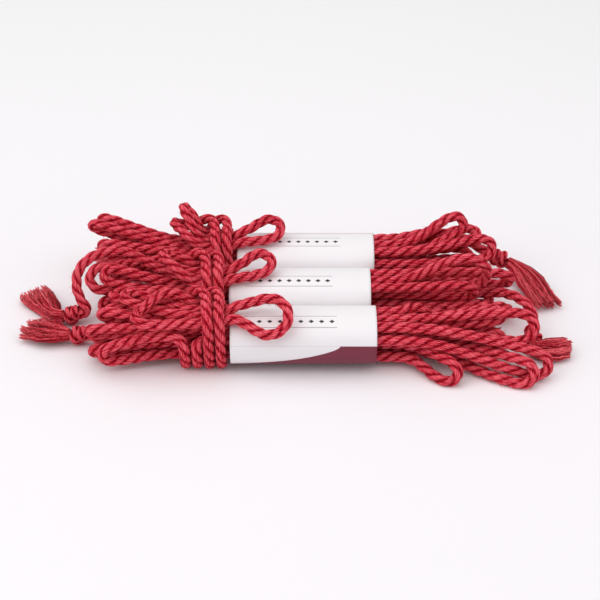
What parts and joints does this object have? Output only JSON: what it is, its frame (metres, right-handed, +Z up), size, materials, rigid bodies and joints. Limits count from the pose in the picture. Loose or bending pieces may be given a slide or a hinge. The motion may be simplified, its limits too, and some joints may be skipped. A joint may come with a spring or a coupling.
{
  "type": "hanked lead rope set",
  "caption": "Set of laid cotton lead ropes, each folded into a hank with doubled wraps and a slipped bow, knotted tassel ends and a plain paper band.",
  "frame": {"origin": "under the middle of the whole set, on the surface it lies on", "axes": "+X along the hanks, with the wraps and bows on its left (-X) half, +Y from the near hank to the far hank, +Z up"},
  "size_m": [0.3364, 0.1454, 0.0526],
  "materials": {
    "rope": "laid cotton, crimson",
    "frayed_end": "teased cotton yarn, crimson",
    "paper": "white printed paper"
  },
  "bodies": {
    "back_hank": {"back_left_tail": "rope", "back_lower_runs": "rope", "back_upper_runs": "rope", "back_first_wraps": "rope", "back_slipped_bow": "rope", "back_second_wraps": "rope", "back_right_tail": "rope", "back_left_knot": "rope", "back_left_tassel": "frayed_end", "back_right_knot": "rope", "back_right_tassel": "frayed_end"},
    "back_sleeve": {"back_band": "paper"},
    "middle_hank": {"middle_left_tail": "rope", "middle_lower_runs": "rope", "middle_upper_runs": "rope", "middle_first_wraps": "rope", "middle_slipped_bow": "rope", "middle_second_wraps": "rope", "middle_right_tail": "rope", "middle_left_knot": "rope", "middle_left_tassel": "frayed_end", "middle_right_knot": "rope", "middle_right_tassel": "frayed_end"},
    "middle_sleeve": {"middle_band": "paper"},
    "front_hank": {"front_left_tail": "rope", "front_lower_runs": "rope", "front_upper_runs": "rope", "front_first_wraps": "rope", "front_slipped_bow": "rope", "front_second_wraps": "rope", "front_right_tail": "rope", "front_left_knot": "rope", "front_left_tassel": "frayed_end", "front_right_knot": "rope", "front_right_tassel": "frayed_end"},
    "front_sleeve": {"front_band": "paper"}
  },
  "joints": [
    {"name": "front_band_slide", "type": "slide", "parent": "front_hank", "child": "front_sleeve", "axis": [1, 0, 0], "range_m": [-0.001, 0.012]},
    {"name": "middle_band_slide", "type": "slide", "parent": "middle_hank", "child": "middle_sleeve", "axis": [1, 0, 0], "range_m": [-0.001, 0.012]},
    {"name": "back_band_slide", "type": "slide", "parent": "back_hank", "child": "back_sleeve", "axis": [1, 0, 0], "range_m": [-0.001, 0.012]},
    {"name": "middle_hank_lift", "type": "slide", "parent": "back_hank", "child": "middle_hank", "axis": [0, 0, 1], "range_m": [0, 0.07]},
    {"name": "front_hank_lift", "type": "slide", "parent": "middle_hank", "child": "front_hank", "axis": [0, 0, 1], "range_m": [0, 0.07]}
  ]
}
